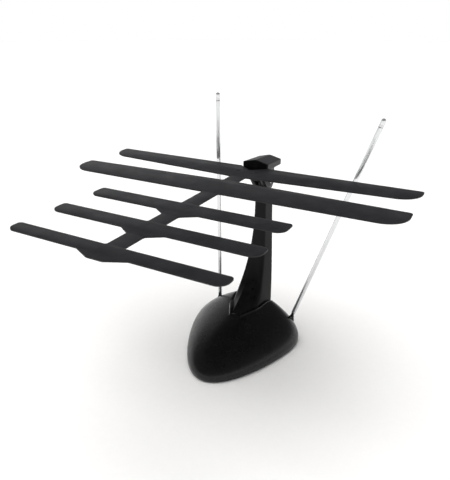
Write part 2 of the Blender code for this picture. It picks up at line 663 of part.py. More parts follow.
def rod(side, word, lean):
    """Foot and sections along local Z of an empty that stands on the hinge's axis."""
    pivot = bpy.data.objects.new(f"{word}_rod_pivot", None)
    pivot.location = (side * ROD_PIVOT_X, ROD_PIVOT_Y, ROD_PIVOT_Z)
    pivot.rotation_euler = (0, math.radians(lean), 0)
    PARTS.objects.link(pivot)
    bpy.context.view_layer.update()
    foot = place(f"{word}_rod_foot", rod_mesh((0, -0.0014, 0), (0, 0.0014, 0), 0.0021, 24),
                 BLACK_STEEL, pivot)
    neck = cutter(f"{word}_foot_neck", box_mesh((-0.0013, -0.00125, 0), (0.0013, 0.00125, 0.0052)))
    stem = cutter(f"{word}_foot_stem", rod_mesh((0, 0, 0.0045), (0, 0, 0.0140), 0.00160, 20))
    hole = cutter(f"{word}_foot_hole", rod_mesh((0, -0.005, 0), (0, 0.005, 0), 0.0009 + GAP, 16))
    for tool, operation in ((neck, "UNION"), (stem, "UNION"), (hole, "DIFFERENCE")):
        tool.parent = pivot
        combine(foot, tool, operation)
    for number, radius in enumerate(ROD_RADII):
        start = ROD_TUBE_START if number == 0 else ROD_INNER_START
        end = ROD_LENGTH - ROD_TIP_LENGTH - GAP
        if number < len(ROD_RADII) - 1:
            profile = tube_profile(radius, radius - ROD_WALL, start, end)
        else:
            profile = [(0, end), (radius, end), (radius, start), (0, start)]
        turned(f"{word}_tube_{number + 1}", profile, CHROME, pivot, 20 if number < 2 else 14)
    outer = ROD_RADII[0]
    dome = [(outer * math.sin(a), ROD_LENGTH - outer * (1 - math.cos(a)))
            for a in np.radians(np.linspace(0, 90, 6))]
    profile = [*dome, (outer, ROD_LENGTH - ROD_TIP_LENGTH), (0, ROD_LENGTH - ROD_TIP_LENGTH)]
    profile[0] = (0, ROD_LENGTH)
    turned(f"{word}_tip", profile, CHROME, pivot, 20)


for side, word, lean in ((-1, "left", LEFT_LEAN), (1, "right", RIGHT_LEAN)):
    rod_post(side, word)
    rod(side, word, lean)
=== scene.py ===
"""Looks of an indoor television antenna: a dome base with a swept mast, a nodding sheet
array of five bars and two telescopic rods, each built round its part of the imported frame.
"""
import json
import math

import bmesh
import bpy
import numpy as np
from mathutils import Matrix, Vector


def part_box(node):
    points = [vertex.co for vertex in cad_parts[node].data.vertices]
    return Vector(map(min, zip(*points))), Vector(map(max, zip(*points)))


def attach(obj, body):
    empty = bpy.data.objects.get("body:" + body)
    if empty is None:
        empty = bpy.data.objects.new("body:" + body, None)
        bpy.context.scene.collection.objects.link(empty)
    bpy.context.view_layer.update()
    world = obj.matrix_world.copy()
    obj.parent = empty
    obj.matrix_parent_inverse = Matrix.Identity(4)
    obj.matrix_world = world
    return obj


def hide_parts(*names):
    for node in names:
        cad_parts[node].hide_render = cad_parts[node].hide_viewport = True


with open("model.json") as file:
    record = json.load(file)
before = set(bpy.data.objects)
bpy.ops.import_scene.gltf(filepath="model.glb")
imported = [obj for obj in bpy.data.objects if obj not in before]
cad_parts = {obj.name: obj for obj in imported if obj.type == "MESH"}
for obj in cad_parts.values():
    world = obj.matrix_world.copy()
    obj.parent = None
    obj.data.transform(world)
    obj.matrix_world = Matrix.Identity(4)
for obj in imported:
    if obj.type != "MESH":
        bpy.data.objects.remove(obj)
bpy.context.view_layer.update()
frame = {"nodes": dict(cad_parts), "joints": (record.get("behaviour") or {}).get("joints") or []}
nodes = frame["nodes"]
joints = {joint["name"]: joint for joint in frame["joints"]}


# ---- Studio ----
# The antenna stands on a wide sheet of pale paper. A broad soft lamp overhead keeps the
# paper even, and a low window behind on the left gives the sheen on the black mouldings.

CAMERA_AIM = Vector((0.0534, -0.1150, 0.1720))
CAMERA_AZIMUTH = 28.54      # degrees round from the nose, towards +X
CAMERA_ELEVATION = 24.35
CAMERA_DISTANCE = 0.2995
CAMERA_LENS = 36.76         # millimetres on a 36 mm sensor

PAPER = "#f6f5f3"
PAPER_RADIUS = 7.0
PAPER_Z = -0.0003


def linear(colour):
    """An sRGB hex colour as linear RGBA: a straight toe, then a power of 2.4."""
    srgb = np.array([int(colour[i:i + 2], 16) for i in (1, 3, 5)]) / 255
    rgb = np.where(srgb <= 0.04045, srgb / 12.92, ((srgb + 0.055) / 1.055) ** 2.4)
    return (*rgb.tolist(), 1.0)


def per_mm(size):
    """Texture scale on Object coordinates, in metres, for a feature of that size in mm."""
    return 1000 / size


def add_node(tree, kind, inputs=(), **settings):
    """Add a node: settings are its own values, inputs map a socket to a value or an output."""
    node = tree.nodes.new(kind)
    for name, value in settings.items():
        setattr(node, name, value)
    for socket, value in dict(inputs).items():
        if isinstance(value, bpy.types.NodeSocket):
            tree.links.new(value, node.inputs[socket])
        else:
            node.inputs[socket].default_value = value
    return node


def new_finish(name, **constants):
    """A Principled material; underscores in a constant's name stand for spaces."""
    material = bpy.data.materials.new(name)
    material.use_nodes = True
    shader = material.node_tree.nodes["Principled BSDF"]
    for socket, value in constants.items():
        shader.inputs[socket.replace("_", " ")].default_value = value
    return material, material.node_tree, shader


def away(azimuth, elevation):
    """Unit direction from the object: azimuth 0 is -Y, 90 is +X."""
    a, e = math.radians(azimuth), math.radians(elevation)
    return Vector((math.sin(a) * math.cos(e), -math.cos(a) * math.cos(e), math.sin(e)))


scene = bpy.context.scene
scene.view_settings.view_transform = "Standard"
camera = bpy.data.objects.new("camera", bpy.data.cameras.new("camera"))
camera.data.lens = CAMERA_LENS
camera.data.sensor_width = 36
camera.data.clip_start = 0.01
camera.location = CAMERA_AIM + away(CAMERA_AZIMUTH, CAMERA_ELEVATION) * CAMERA_DISTANCE
camera.rotation_euler = (CAMERA_AIM - camera.location).to_track_quat("-Z", "Y").to_euler()
scene.collection.objects.link(camera)
scene.camera = camera

world = bpy.data.worlds.new("light_tent")
scene.world = world
world.use_nodes = True
sky = world.node_tree
direction = add_node(sky, "ShaderNodeTexCoord")
height = add_node(sky, "ShaderNodeSeparateXYZ", {"Vector": direction.outputs["Generated"]})
tent = add_node(sky, "ShaderNodeValToRGB", {"Fac": height.outputs["Z"]})
tent.color_ramp.elements[0].position = 0.05
tent.color_ramp.elements[0].color = linear("#ffffff")
tent.color_ramp.elements[1].position = 0.90
tent.color_ramp.elements[1].color = linear("#4c4c4e")
wall_tone = tent.color_ramp.elements.new(0.32)
wall_tone.color = linear("#87878a")
sky.links.new(tent.outputs["Color"], sky.nodes["Background"].inputs["Color"])
sky.nodes["Background"].inputs["Strength"].default_value = 1.0


def softbox(name, azimuth, elevation, distance, size, watts):
    """A square soft light aimed at the middle of the antenna."""
    light = bpy.data.lights.new(name, "AREA")
    light.size = size
    light.energy = watts
    lamp = bpy.data.objects.new(name, light)
    lamp.location = Vector((0, -0.03, 0.1)) + away(azimuth, elevation) * distance
    lamp.rotation_euler = away(azimuth, elevation).to_track_quat("Z", "Y").to_euler()
    scene.collection.objects.link(lamp)


softbox("window", -134, 20, 1.8, 1.1, 0.8)

overhead = bpy.data.lights.new("overhead", "SUN")
overhead.energy = 3.5
overhead.angle = math.radians(70)
lamp = bpy.data.objects.new("overhead", overhead)
lamp.rotation_euler = (math.radians(8), math.radians(-6), 0)
lamp.visible_glossy = False
scene.collection.objects.link(lamp)

# Matt paper: a faint fibre shows only as a slight change of tone.
paper, tree, shader = new_finish("matt_paper", Roughness=0.9, Specular_IOR_Level=0.1)
coords = add_node(tree, "ShaderNodeTexCoord")
fibre = add_node(tree, "ShaderNodeTexNoise", {"Vector": coords.outputs["Object"],
                                              "Scale": per_mm(6), "Detail": 3.0})
tone = add_node(tree, "ShaderNodeValToRGB", {"Fac": fibre.outputs["Fac"]})
tone.color_ramp.elements[0].color = linear("#f3f2f0")
tone.color_ramp.elements[1].color = linear(PAPER)
tree.links.new(tone.outputs["Color"], shader.inputs["Base Color"])


def skin(name, rings, close=(True, True), run=None, sharp=32):
    """A surface through rings of points: rings[i, j] is point j round ring i. Neighbours are
    joined by quads and an end ring is filled by one face. With run, the height of each
    ring along the piece in metres, it gets a UV map of turn round and run along. Edges that
    fold by more than the sharp angle, in degrees, are shaded sharp."""
    rows, columns, _ = rings.shape
    index = np.arange(rows * columns).reshape(rows, columns)
    ahead = np.roll(index, -1, axis=1)
    faces = np.stack((index[:-1], ahead[:-1], ahead[1:], index[1:]), axis=-1)
    faces = faces.reshape(-1, 4).tolist()
    sides = len(faces)
    if close[0]:
        faces.append(index[0, ::-1].tolist())
    if close[1]:
        faces.append(index[-1].tolist())
    mesh = bpy.data.meshes.new(name)
    mesh.from_pydata(rings.reshape(-1, 3).tolist(), [], faces)
    if run is not None:
        turn = np.arange(columns) / columns
        around = np.stack((turn, turn + 1 / columns, turn + 1 / columns, turn), axis=-1)
        around = np.broadcast_to(around, (rows - 1, columns, 4))
        low, high = (np.broadcast_to(np.asarray(part)[:, None], (rows - 1, columns))
                     for part in (run[:-1], run[1:]))
        uv = np.zeros((len(mesh.loops), 2))
        uv[:sides * 4, 0] = around.ravel()
        uv[:sides * 4, 1] = np.stack((low, low, high, high), axis=-1).ravel()
        mesh.uv_layers.new(name="along").data.foreach_set("uv", uv.ravel())
    mesh.shade_smooth()
    mesh.set_sharp_from_angle(angle=math.radians(sharp))
    return mesh


def weld(mesh, distance):
    """Join points closer than the distance and turn every face outwards."""
    shape = bmesh.new()
    shape.from_mesh(mesh)
    bmesh.ops.remove_doubles(shape, verts=shape.verts, dist=distance)
    bmesh.ops.recalc_face_normals(shape, faces=shape.faces)
    shape.to_mesh(mesh)
    shape.free()


def stand(name, mesh, material):
    """Put a finished mesh in the scene as a piece, at the origin."""
    piece = bpy.data.objects.new(name, mesh)
    scene.collection.objects.link(piece)
    mesh.materials.clear()
    mesh.materials.append(material)
    return piece


turn = np.linspace(0, 2 * math.pi, 96, endpoint=False)
sheet_rings = np.array([[PAPER_RADIUS * np.cos(turn), PAPER_RADIUS * np.sin(turn),
                         np.full(96, z)] for z in (PAPER_Z - 0.002, PAPER_Z)]).transpose(0, 2, 1)
floor = stand("paper", skin("paper", sheet_rings), paper)


# ---- Mast ----
# A hollow column moulded in black ABS, its tool lightly spark-eroded. It sweeps from a
# broad foot, screwed into the dome's pocket, to a slim top with a tongue for the head.

MAST_TOP_Z = 0.1450
MAST_FOOT_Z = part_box("mast")[0].z
MAST_WALL = 0.0018
MAST_TOP_ROUNDING = 0.0012
SECTION_POWER = 14          # higher gives the back corners of the section a smaller radius
TOE_REACH = 0.0175          # how far the foot's toe stands out in front of its corners
TOE_TOP_Z = 0.058
TOE_FOOT_Z = 0.033          # the toe is full from here down
FLUTE_DEPTH = 0.0013        # hollow between the foot's creases
MAST_ROWS = 90

TILT_Y, TILT_Z = joints["array_tilt"]["pos_m"][1:]
TONGUE_RADIUS = 0.0077
TONGUE_HALF = 0.0027
TONGUE_ROUNDING = 0.0004
TONGUE_ROOT = (-0.0055, 0.0066)     # y of its straight sides, from the tilt pin
TONGUE_SINK = 0.0010        # how far it starts below the mast's top


def toe_share(z):
    """0 above the toe, 1 where it is full."""
    return np.clip((TOE_TOP_Z - z) / (TOE_TOP_Z - TOE_FOOT_Z), 0, 1)


def mast_corners(z):
    """Corners of the section's right half, front to back: (crease, nose), (front, front_y) and
    (back, back_y). The half-widths and the front and back grow with a power of the share of
    the way down; the nose stands TOE_REACH * share^2.2 in front."""
    drop = np.clip((MAST_TOP_Z - z) / (MAST_TOP_Z - MAST_FOOT_Z), 0, 1)
    front = 0.0054 + 0.0099 * drop ** 2.2
    front_y = 0.0543 - 0.0370 * drop ** 3.3
    back = 0.0076 + 0.0116 * drop ** 1.8
    back_y = 0.0675 - 0.0190 * drop ** 2.55
    nose = front_y - 0.0004 - TOE_REACH * toe_share(z) ** 2.2
    crease = front * 0.42 * (1 - 0.25 * toe_share(z) ** 2)
    return crease, nose, front, front_y, back, back_y


def mast_radius(z, turn):
    """Distance from the section's middle to its outline in the direction turn. Every side is a
    straight line: the nose and its flanks meet in sharp creases, and a power mean of the
    distances rounds the other corners."""
    crease, nose, front, front_y, back, back_y = mast_corners(z)
    middle = (front_y + back_y) / 2
    dx, dy = np.abs(np.cos(turn)), np.sin(turn)
    share = []
    for x1, y1, x2, y2 in ((crease, nose, front, front_y), (front, front_y, back, back_y)):
        length = np.hypot(x2 - x1, y2 - y1)
        side_x, side_y = (y2 - y1) / length, (x1 - x2) / length
        share.append((side_x * dx + side_y * dy) / (side_x * x2 + side_y * (y2 - middle)))
    ahead = np.maximum(np.maximum(-dy / (middle - nose), share[0]), 0)
    side = np.maximum(share[1], 0)
    behind = np.maximum(dy / (back_y - middle), 0)
    total = ahead ** SECTION_POWER + side ** SECTION_POWER + behind ** SECTION_POWER
    return total ** (-1 / SECTION_POWER), middle


def smooth_step(low, high, value):
    """0 up to low, 1 from high, and a cubic between them."""
    share = np.clip((value - low) / (high - low), 0, 1)
    return share * share * (3 - 2 * share)


# The column is the section above at each height, with a line of points kept on every
# corner. Between the foot's creases the surface is hollowed, by a parabola in the middle
# and a sine on each flank, fading out upwards. The top edge is a quarter round.
z = (MAST_FOOT_Z + (MAST_TOP_Z - MAST_FOOT_Z) * np.linspace(0, 1, MAST_ROWS) ** 1.15)[:, None]
crease, nose, front, front_y, back, back_y = mast_corners(z)
middle = (front_y + back_y) / 2
straight = np.full_like(z, math.pi / 2)
corner_turns = np.hstack((-straight, np.arctan2(nose - middle, crease),
                          np.arctan2(front_y - middle, front), np.arctan2(back_y - middle, back),
                          straight))
half = np.stack([np.interp(np.linspace(0, 4, 89), range(5), turns) for turns in corner_turns])
turn = np.hstack((half[:, :-1], math.pi - half[:, :0:-1]))
radius, middle = mast_radius(z, turn)
across = np.abs(radius * np.cos(turn)) / front
edge = crease / front
hollow = np.where(across < edge, 1 - (across / edge) ** 2,
                  np.sin(math.pi * np.clip((across - edge) / (1 - edge), 0, 1)))
radius = radius - FLUTE_DEPTH * hollow * (np.sin(turn) < 0) * toe_share(z) ** 1.5
over = np.clip((z - (MAST_TOP_Z - MAST_TOP_ROUNDING)) / MAST_TOP_ROUNDING, 0, 1)
radius = radius - MAST_TOP_ROUNDING * (1 - np.sqrt(1 - over ** 2 * 0.99))
rings = np.stack(np.broadcast_arrays(radius * np.cos(turn), middle + radius * np.sin(turn), z),
                 axis=-1)

# Spark-eroded ABS: a fine even grain, drawn at 0.35 mm where the real one is nearer 0.1,
# breaks the reflection into a satin, with slow flow marks running up the moulding.
satin_abs, tree, shader = new_finish("spark_eroded_abs", IOR=1.53, Specular_IOR_Level=0.12)
coords = add_node(tree, "ShaderNodeTexCoord")
stretch = add_node(tree, "ShaderNodeMapping", {"Vector": coords.outputs["Object"],
                                               "Scale": (1, 1, 0.12)})
flow = add_node(tree, "ShaderNodeTexNoise", {"Vector": stretch.outputs["Vector"],
                                             "Scale": per_mm(5), "Detail": 4.0})
grain = add_node(tree, "ShaderNodeTexNoise", {"Vector": coords.outputs["Object"],
                                              "Scale": per_mm(0.35), "Detail": 2.0})
gloss = add_node(tree, "ShaderNodeMapRange", {"Value": flow.outputs["Fac"], "From Min": 0.3,
                                              "From Max": 0.7, "To Min": 0.26, "To Max": 0.42})
tone = add_node(tree, "ShaderNodeValToRGB", {"Fac": flow.outputs["Fac"]})
tone.color_ramp.elements[0].position = 0.3
tone.color_ramp.elements[0].color = linear("#0b0b0c")
tone.color_ramp.elements[1].position = 0.75
tone.color_ramp.elements[1].color = linear("#131314")
relief = add_node(tree, "ShaderNodeBump", {"Height": grain.outputs["Fac"], "Strength": 0.35,
                                           "Distance": 0.00006})
tree.links.new(gloss.outputs["Result"], shader.inputs["Roughness"])
tree.links.new(tone.outputs["Color"], shader.inputs["Base Color"])
tree.links.new(relief.outputs["Normal"], shader.inputs["Normal"])

mast = stand("mast_column", skin("mast_column", rings, (False, True), sharp=75), satin_abs)
wall = mast.modifiers.new("wall", "SOLIDIFY")
wall.thickness = MAST_WALL
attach(mast, "base")
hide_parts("mast")

# The tongue is a flat lug: a round top on straight sides, carried across the width with a
# small round on both edges.
arc = np.linspace(-0.25 * math.pi, 1.25 * math.pi, 48)
lug = np.column_stack((TONGUE_RADIUS * np.cos(arc), TONGUE_RADIUS * np.sin(arc)))
root_z = MAST_TOP_Z - TONGUE_SINK - TILT_Z
lug = np.vstack((lug, [(y, root_z) for y in TONGUE_ROOT]))
edge = np.linspace(0, math.pi / 2, 5)
inset = TONGUE_ROUNDING * (1 - np.sin(edge))
x = -TONGUE_HALF + TONGUE_ROUNDING * (1 - np.cos(edge))
inset = np.concatenate((inset, inset[::-1]))
x = np.concatenate((x, -x[::-1]))
shrink = 1 - inset / TONGUE_RADIUS
rings = np.stack([np.column_stack((np.full(len(lug), across), TILT_Y + lug[:, 0] * size,
                                   TILT_Z + lug[:, 1] * size)) for across, size in zip(x, shrink)])
tongue = stand("mast_tongue", skin("mast_tongue", rings), satin_abs)
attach(tongue, "base")
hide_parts("mast")


# ---- Dome base ----
# A deep lid moulded in polished black ABS over a steel ballast plate. A rounded triangle in
# plan, nose forwards; the mast's foot drops into a pocket with a shallow moat round it.

base_low, base_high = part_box("base_shell")
RIM_Z = 0.0046
CROWN_Z = 0.0422
CROWN = np.array((0.0, 0.0460))
DOME_WALL = 0.0022
DOME_SCALE_LENGTH = 0.050   # insets are taken as a share of this
EDGE_ROUNDING = 0.0006
POCKET_GAP = 0.0004
POCKET_FLOOR_Z = 0.0271
MOAT_DEPTH = 0.0014
MOAT_WIDTH = 0.0022
POST_SEAT_RADIUS = 0.0030
POST_SEAT_Z = 0.0142
SOCKET_HOLE_RADIUS = 0.0051
DOME_COLUMNS = 288
DOME_ROWS = 72

base_turn = np.linspace(0, 2 * math.pi, DOME_COLUMNS, endpoint=False)


def footprint(turn):
    """Outline of the base: share, 0 at the nose and 1 at the rear, is sin squared of half the
    turn. The width is the root of the share times a shoulder, (1 - share^5.6)^(1/3)."""
    share = np.sin(turn / 2) ** 2
    width = np.sqrt(share) * np.cbrt(1 - share ** 5.6)
    widest = (np.sqrt(np.linspace(0, 1, 999)) * np.cbrt(1 - np.linspace(0, 1, 999) ** 5.6)).max()
    x = np.sign(np.sin(turn)) * width * base_high.x / widest
    return np.column_stack((x, base_low.y + (base_high.y - base_low.y) * share))


def dome_z(reach):
    """Height of the dome where reach, from 1 at the rim to 0 under the crown, is cos squared
    of an angle: the rim plus the rise times sin^1.05."""
    return RIM_Z + (CROWN_Z - RIM_Z) * np.sqrt(np.clip(1 - reach, 0, 1)) ** 1.05


outline = footprint(base_turn)
ray = outline - CROWN
full = np.hypot(*ray.T)
unit = ray / full[:, None]

# Where each ray from the crown meets the pocket, found by halving.
near, far = np.zeros(DOME_COLUMNS), full.copy()
for _ in range(40):
    tried = (near + far) / 2
    level = dome_z(tried / full)
    spot = CROWN + unit * tried[:, None]
    centre_y = mast_radius(level, 0.0)[1]
    aim = np.arctan2(spot[:, 1] - centre_y, spot[:, 0])
    inside = np.hypot(spot[:, 0], spot[:, 1] - centre_y) < mast_radius(level, aim)[0] + POCKET_GAP
    near, far = np.where(inside, tried, near), np.where(inside, far, tried)
edge_reach = far / full
edge_angle = np.arccos(np.sqrt(edge_reach))

rings = []
for inset, z in ((EDGE_ROUNDING, base_low.z), (0.3 * EDGE_ROUNDING, base_low.z + 0.3 * EDGE_ROUNDING),
                 (0.0, base_low.z + EDGE_ROUNDING)):
    ring = outline * (1 - inset / DOME_SCALE_LENGTH)
    rings.append(np.column_stack((ring, np.full(DOME_COLUMNS, z))))
for share in np.linspace(0, 1, DOME_ROWS):
    reach = np.cos(edge_angle * (1 - (1 - share) ** 1.35)) ** 2
    gap = (reach - edge_reach) * full
    moat = MOAT_DEPTH * np.exp(-(gap / MOAT_WIDTH) ** 2) * smooth_step(-0.9, 0.1, -unit[:, 1])
    ring = CROWN + ray * reach[:, None]
    rings.append(np.column_stack((ring, dome_z(reach) - moat)))
edge_z = rings[-1][:, 2]
for share in (0.04, 0.3, 0.65, 1.0):
    level = edge_z + (POCKET_FLOOR_Z - edge_z) * share
    reach, centre_y = mast_radius(level, aim)
    reach = reach + POCKET_GAP
    rings.append(np.column_stack((reach * np.cos(aim), centre_y + reach * np.sin(aim), level)))
rings = np.stack(rings)

# Polished ABS: a deep black under a clear gloss, softened by a faint orange peel from the
# moulding and by handling marks that dull it in slow patches.
gloss_abs, tree, shader = new_finish("polished_abs", IOR=1.53, Specular_IOR_Level=0.3)
coords = add_node(tree, "ShaderNodeTexCoord")
handling = add_node(tree, "ShaderNodeTexNoise", {"Vector": coords.outputs["Object"],
                                                 "Scale": per_mm(22), "Detail": 6.0,
                                                 "Roughness": 0.6})
peel = add_node(tree, "ShaderNodeTexNoise", {"Vector": coords.outputs["Object"],
                                             "Scale": per_mm(2.2), "Detail": 1.0})
gloss = add_node(tree, "ShaderNodeMapRange", {"Value": handling.outputs["Fac"], "From Min": 0.3,
                                              "From Max": 0.7, "To Min": 0.18, "To Max": 0.34})
tone = add_node(tree, "ShaderNodeValToRGB", {"Fac": handling.outputs["Fac"]})
tone.color_ramp.elements[0].color = linear("#090909")
tone.color_ramp.elements[1].color = linear("#121213")
relief = add_node(tree, "ShaderNodeBump", {"Height": peel.outputs["Fac"], "Strength": 0.07,
                                           "Distance": 0.0001})
tree.links.new(gloss.outputs["Result"], shader.inputs["Roughness"])
tree.links.new(tone.outputs["Color"], shader.inputs["Base Color"])
tree.links.new(relief.outputs["Normal"], shader.inputs["Normal"])

dome = stand("dome_shell", skin("dome_shell", rings, (False, True)), gloss_abs)
wall = dome.modifiers.new("wall", "SOLIDIFY")
wall.thickness = DOME_WALL


def turned(name, profile, start, axis, columns=48, with_run=False, caps=(True, True)):
    """A turned mesh: each (radius, height) of the profile swept round the axis from start."""
    axis = np.array(axis, float) / np.linalg.norm(axis)
    side = np.cross(axis, (0, 1, 0) if abs(axis[1]) < 0.9 else (1, 0, 0))
    side /= np.linalg.norm(side)
    other = np.cross(axis, side)
    radius, height = np.array(profile, float).T
    turn = np.linspace(0, 2 * math.pi, columns, endpoint=False)
    wheel = np.cos(turn)[:, None] * side + np.sin(turn)[:, None] * other
    rings = (np.array(start, float) + height[:, None, None] * axis
             + radius[:, None, None] * wheel[None])
    return skin(name, rings, caps, height if with_run else None)


def drill(piece, holes):
    """Cut round holes, each (start, end, radius), and leave the piece as a plain mesh."""
    cutters = []
    for start, end, radius in holes:
        length = (Vector(end) - Vector(start)).length
        mesh = turned("drill", [(radius, 0), (radius, length)], start, Vector(end) - Vector(start))
        cutter = bpy.data.objects.new("drill", mesh)
        scene.collection.objects.link(cutter)
        cutters.append(cutter)
        cut = piece.modifiers.new("hole", "BOOLEAN")
        cut.operation = "DIFFERENCE"
        cut.object = cutter
    evaluated = piece.evaluated_get(bpy.context.evaluated_depsgraph_get())
    mesh = bpy.data.meshes.new_from_object(evaluated)
    piece.modifiers.clear()
    piece.data = mesh
    mesh.name = piece.name
    for cutter in cutters:
        bpy.data.objects.remove(cutter)
    mesh.shade_smooth()
    mesh.set_sharp_from_angle(angle=math.radians(32))


def middle_of(node):
    low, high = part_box(node)
    return (low + high) / 2


holes = []
for word in ("left", "right"):
    post = middle_of(f"{word}_post")
    holes.append(((post.x, post.y, POST_SEAT_Z), (post.x, post.y, 0.040), POST_SEAT_RADIUS))
socket = middle_of("coax_socket")
holes.append(((0, 0.048, socket.z), (0, 0.070, socket.z), SOCKET_HOLE_RADIUS))
drill(dome, holes)
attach(dome, "base")
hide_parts("base_shell")


# ---- Underside ----
# A black cover screwed up into the dome, hidden by a die-cut sheet of closed-cell foam
# rubber that keeps the base from sliding and from marking the furniture.

PAD_ROUNDING = 0.0004
pad_low, pad_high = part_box("base_pad")
pad_scale = (pad_high.x - pad_low.x) / (base_high.x - base_low.x)

# Foam rubber: dull, nearly black, its cut cells drawn at 0.7 mm so that they show.
foam, tree, shader = new_finish("closed_cell_foam", Roughness=0.95, Specular_IOR_Level=0.25)
coords = add_node(tree, "ShaderNodeTexCoord")
cells = add_node(tree, "ShaderNodeTexVoronoi", {"Vector": coords.outputs["Object"],
                                                "Scale": per_mm(0.7)})
tone = add_node(tree, "ShaderNodeValToRGB", {"Fac": cells.outputs["Distance"]})
tone.color_ramp.elements[0].color = linear("#0c0c0c")
tone.color_ramp.elements[1].color = linear("#232323")
relief = add_node(tree, "ShaderNodeBump", {"Height": cells.outputs["Distance"], "Strength": 0.6,
                                           "Distance": 0.0002})
tree.links.new(tone.outputs["Color"], shader.inputs["Base Color"])
tree.links.new(relief.outputs["Normal"], shader.inputs["Normal"])

edge = np.linspace(0, math.pi / 2, 5)
inset = PAD_ROUNDING * (1 - np.sin(edge))
rise = PAD_ROUNDING * (1 - np.cos(edge))
inset = np.concatenate((inset, inset[::-1]))
z = np.concatenate((pad_low.z + rise, pad_high.z - rise[::-1]))
rings = np.stack([np.column_stack((outline * (pad_scale - cut / DOME_SCALE_LENGTH),
                                   np.full(DOME_COLUMNS, level))) for cut, level in zip(inset, z)])
pad = stand("foam_pad", skin("foam_pad", rings), foam)
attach(pad, "base")
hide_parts("base_pad")


def dress(material, *names):
    """Give CAD nodes a better material."""
    for name in names:
        nodes[name].material_slots[0].material = material


dress(foam, "board_pad")
dress(satin_abs, "base_cover")


# ---- Works inside the base ----
# A zinc-plated ballast plate, and a small board with the ferrite ring that matches the
# array and the rods to the coaxial socket. Screws and leads hold and join them.

# Bright zinc over steel: a fine tumbled grain with a faint blue and straw bloom.
zinc, tree, shader = new_finish("zinc_plated_steel", Metallic=1.0)
coords = add_node(tree, "ShaderNodeTexCoord")
bloom = add_node(tree, "ShaderNodeTexNoise", {"Vector": coords.outputs["Object"],
                                              "Scale": per_mm(7), "Detail": 3.0})
grain = add_node(tree, "ShaderNodeTexNoise", {"Vector": coords.outputs["Object"],
                                              "Scale": per_mm(0.25), "Detail": 2.0})
tone = add_node(tree, "ShaderNodeValToRGB", {"Fac": bloom.outputs["Fac"]})
tone.color_ramp.elements[0].position = 0.3
tone.color_ramp.elements[0].color = linear("#9da3ab")
tone.color_ramp.elements[1].position = 0.7
tone.color_ramp.elements[1].color = linear("#b9b4a6")
gloss = add_node(tree, "ShaderNodeMapRange", {"Value": grain.outputs["Fac"], "To Min": 0.24,
                                              "To Max": 0.46})
tree.links.new(tone.outputs["Color"], shader.inputs["Base Color"])
tree.links.new(gloss.outputs["Result"], shader.inputs["Roughness"])
dress(zinc, "ballast_plate", "cover_screw_1", "cover_screw_2", "cover_screw_3",
      "mast_screw_left", "mast_screw_right", "head_screw", "left_post_screw",
      "right_post_screw")

# Glass-fibre board under green resist: the weave shows faintly, with paler tracks.
board, tree, shader = new_finish("solder_resist", Roughness=0.35, IOR=1.5)
coords = add_node(tree, "ShaderNodeTexCoord")
weave = add_node(tree, "ShaderNodeTexChecker", {"Vector": coords.outputs["Object"],
                                                "Scale": per_mm(0.6),
                                                "Color1": linear("#17452a"),
                                                "Color2": linear("#1a4c2e")})
tracks = add_node(tree, "ShaderNodeTexWave", {"Vector": coords.outputs["Object"],
                                              "Scale": per_mm(16), "Distortion": 2.0})
copper = add_node(tree, "ShaderNodeValToRGB", {"Fac": tracks.outputs["Fac"]})
copper.color_ramp.elements[0].position = 0.80
copper.color_ramp.elements[1].position = 0.82
tone = add_node(tree, "ShaderNodeMix", {"Factor": copper.outputs["Color"],
                                        "A": weave.outputs["Color"], "B": linear("#3c7a4a")},
                data_type="RGBA")
tree.links.new(tone.outputs["Result"], shader.inputs["Base Color"])
dress(board, "circuit_board")

# Sintered ferrite: a dull dark grey with a gritty pressed surface.
ferrite, tree, shader = new_finish("sintered_ferrite", Roughness=0.7)
coords = add_node(tree, "ShaderNodeTexCoord")
grit = add_node(tree, "ShaderNodeTexNoise", {"Vector": coords.outputs["Object"],
                                             "Scale": per_mm(0.4), "Detail": 4.0})
tone = add_node(tree, "ShaderNodeValToRGB", {"Fac": grit.outputs["Fac"]})
tone.color_ramp.elements[0].color = linear("#232325")
tone.color_ramp.elements[1].color = linear("#3a3a3d")
tree.links.new(tone.outputs["Color"], shader.inputs["Base Color"])
dress(ferrite, "balun_core")

# Tinned brass: warm metal with streaks of solder tin.
brass, tree, shader = new_finish("tinned_brass", Metallic=1.0, Roughness=0.32)
coords = add_node(tree, "ShaderNodeTexCoord")
tin = add_node(tree, "ShaderNodeTexNoise", {"Vector": coords.outputs["Object"],
                                            "Scale": per_mm(2), "Detail": 3.0})
tone = add_node(tree, "ShaderNodeValToRGB", {"Fac": tin.outputs["Fac"]})
tone.color_ramp.elements[0].position = 0.45
tone.color_ramp.elements[0].color = linear("#c9a25c")
tone.color_ramp.elements[1].position = 0.62
tone.color_ramp.elements[1].color = linear("#c8c6bd")
tree.links.new(tone.outputs["Color"], shader.inputs["Base Color"])
dress(brass, "left_solder_tag", "right_solder_tag")

# Cable sheath: soft PVC with a slight bloom and extrusion marks along it.
sheath, tree, shader = new_finish("pvc_sheath", IOR=1.52)
coords = add_node(tree, "ShaderNodeTexCoord")
marks = add_node(tree, "ShaderNodeTexNoise", {"Vector": coords.outputs["Object"],
                                              "Scale": per_mm(1.2), "Detail": 3.0})
tone = add_node(tree, "ShaderNodeValToRGB", {"Fac": marks.outputs["Fac"]})
tone.color_ramp.elements[0].color = linear("#101011")
tone.color_ramp.elements[1].color = linear("#19191b")
gloss = add_node(tree, "ShaderNodeMapRange", {"Value": marks.outputs["Fac"], "To Min": 0.40,
                                              "To Max": 0.60})
tree.links.new(tone.outputs["Color"], shader.inputs["Base Color"])
tree.links.new(gloss.outputs["Result"], shader.inputs["Roughness"])
dress(sheath, "feed_lead", "left_rod_lead", "right_rod_lead")


